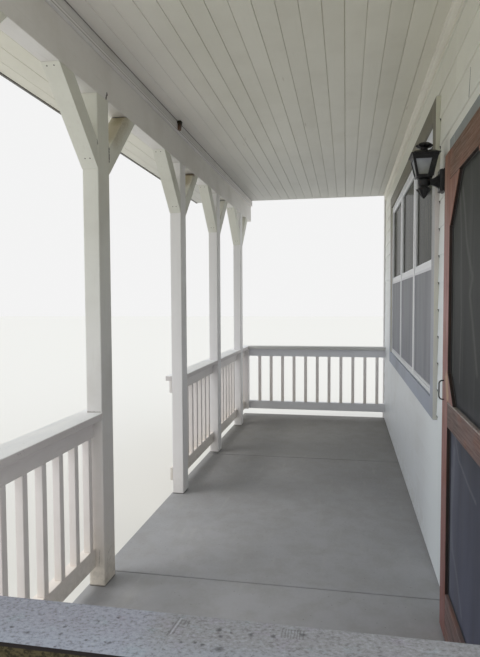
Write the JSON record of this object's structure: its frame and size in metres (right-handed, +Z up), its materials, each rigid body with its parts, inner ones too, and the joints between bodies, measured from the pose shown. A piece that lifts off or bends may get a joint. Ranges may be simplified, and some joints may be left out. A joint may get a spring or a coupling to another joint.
{
  "type": "front porch",
  "caption": "Covered timber front porch with slab, braced posts, board ceiling, balustrade and the house wall with triple window, screen door and lantern.",
  "frame": {"origin": "on the ground, at the middle of the porch length, in the plane of the siding face of the house wall", "axes": "+Z up, +X along the porch towards its near end in the picture, +Y through the wall into the house"},
  "size_m": [6.88, 2.703, 3.887],
  "materials": {
    "concrete": "painted concrete",
    "white_paint": "weathered paint",
    "ceiling_paint": "satin paint",
    "dark_board": "dark paint",
    "shingle": "mineral granules",
    "siding": "painted lap siding",
    "trim_grey": "satin paint",
    "window_white": "satin",
    "window_glass": "clear",
    "insect_screen": "fine screen cloth",
    "entry_door": "satin paint",
    "threshold": "worn",
    "stained_wood": "worn red-brown stain",
    "wire_mesh": "fine wire mesh",
    "black_metal": "satin black",
    "lantern_glass": "frosted"
  },
  "bodies": {
    "porch": {"slab": "concrete", "foundation": "concrete", "post_1": "white_paint", "post_2": "white_paint", "post_3": "white_paint", "post_4": "white_paint", "post_5": "white_paint", "braces": "white_paint", "beam": "white_paint", "beam_moulding": "white_paint", "ceiling": "ceiling_paint", "soffit": "ceiling_paint", "fascia_boards": "dark_board", "roof_deck": "shingle", "gable_infills": "siding", "wall_far_pier": "siding", "wall_below_window": "siding", "wall_above_window": "siding", "wall_middle_pier": "siding", "wall_above_door": "siding", "wall_near_pier": "siding", "corner_boards": "white_paint", "wall_crown": "white_paint", "front_caps": "white_paint", "end_caps": "white_paint", "front_rails": "white_paint", "end_rails": "white_paint", "balusters": "white_paint", "corner_newels": "white_paint", "window_casing": "trim_grey", "window_frame": "window_white", "window_sashes": "window_white", "window_glass": "window_glass", "insect_screens": "insect_screen", "door_casing": "trim_grey", "entry_door": "entry_door", "threshold": "threshold", "hinge_brackets": "black_metal", "lantern_bracket": "black_metal", "lantern_body": "black_metal", "lantern_glass": "lantern_glass"},
    "screen_door_leaf": {"screen_door": "stained_wood", "screen_mesh": "wire_mesh", "door_pull": "black_metal", "door_leaves": "black_metal"}
  },
  "joints": [
    {"name": "screen_door_hinge", "type": "hinge", "parent": "porch", "child": "screen_door_leaf", "pos_m": [2.438, -0.063, 1.2475], "axis": [0, 0, 1], "range_deg": [0, 110]}
  ]
}
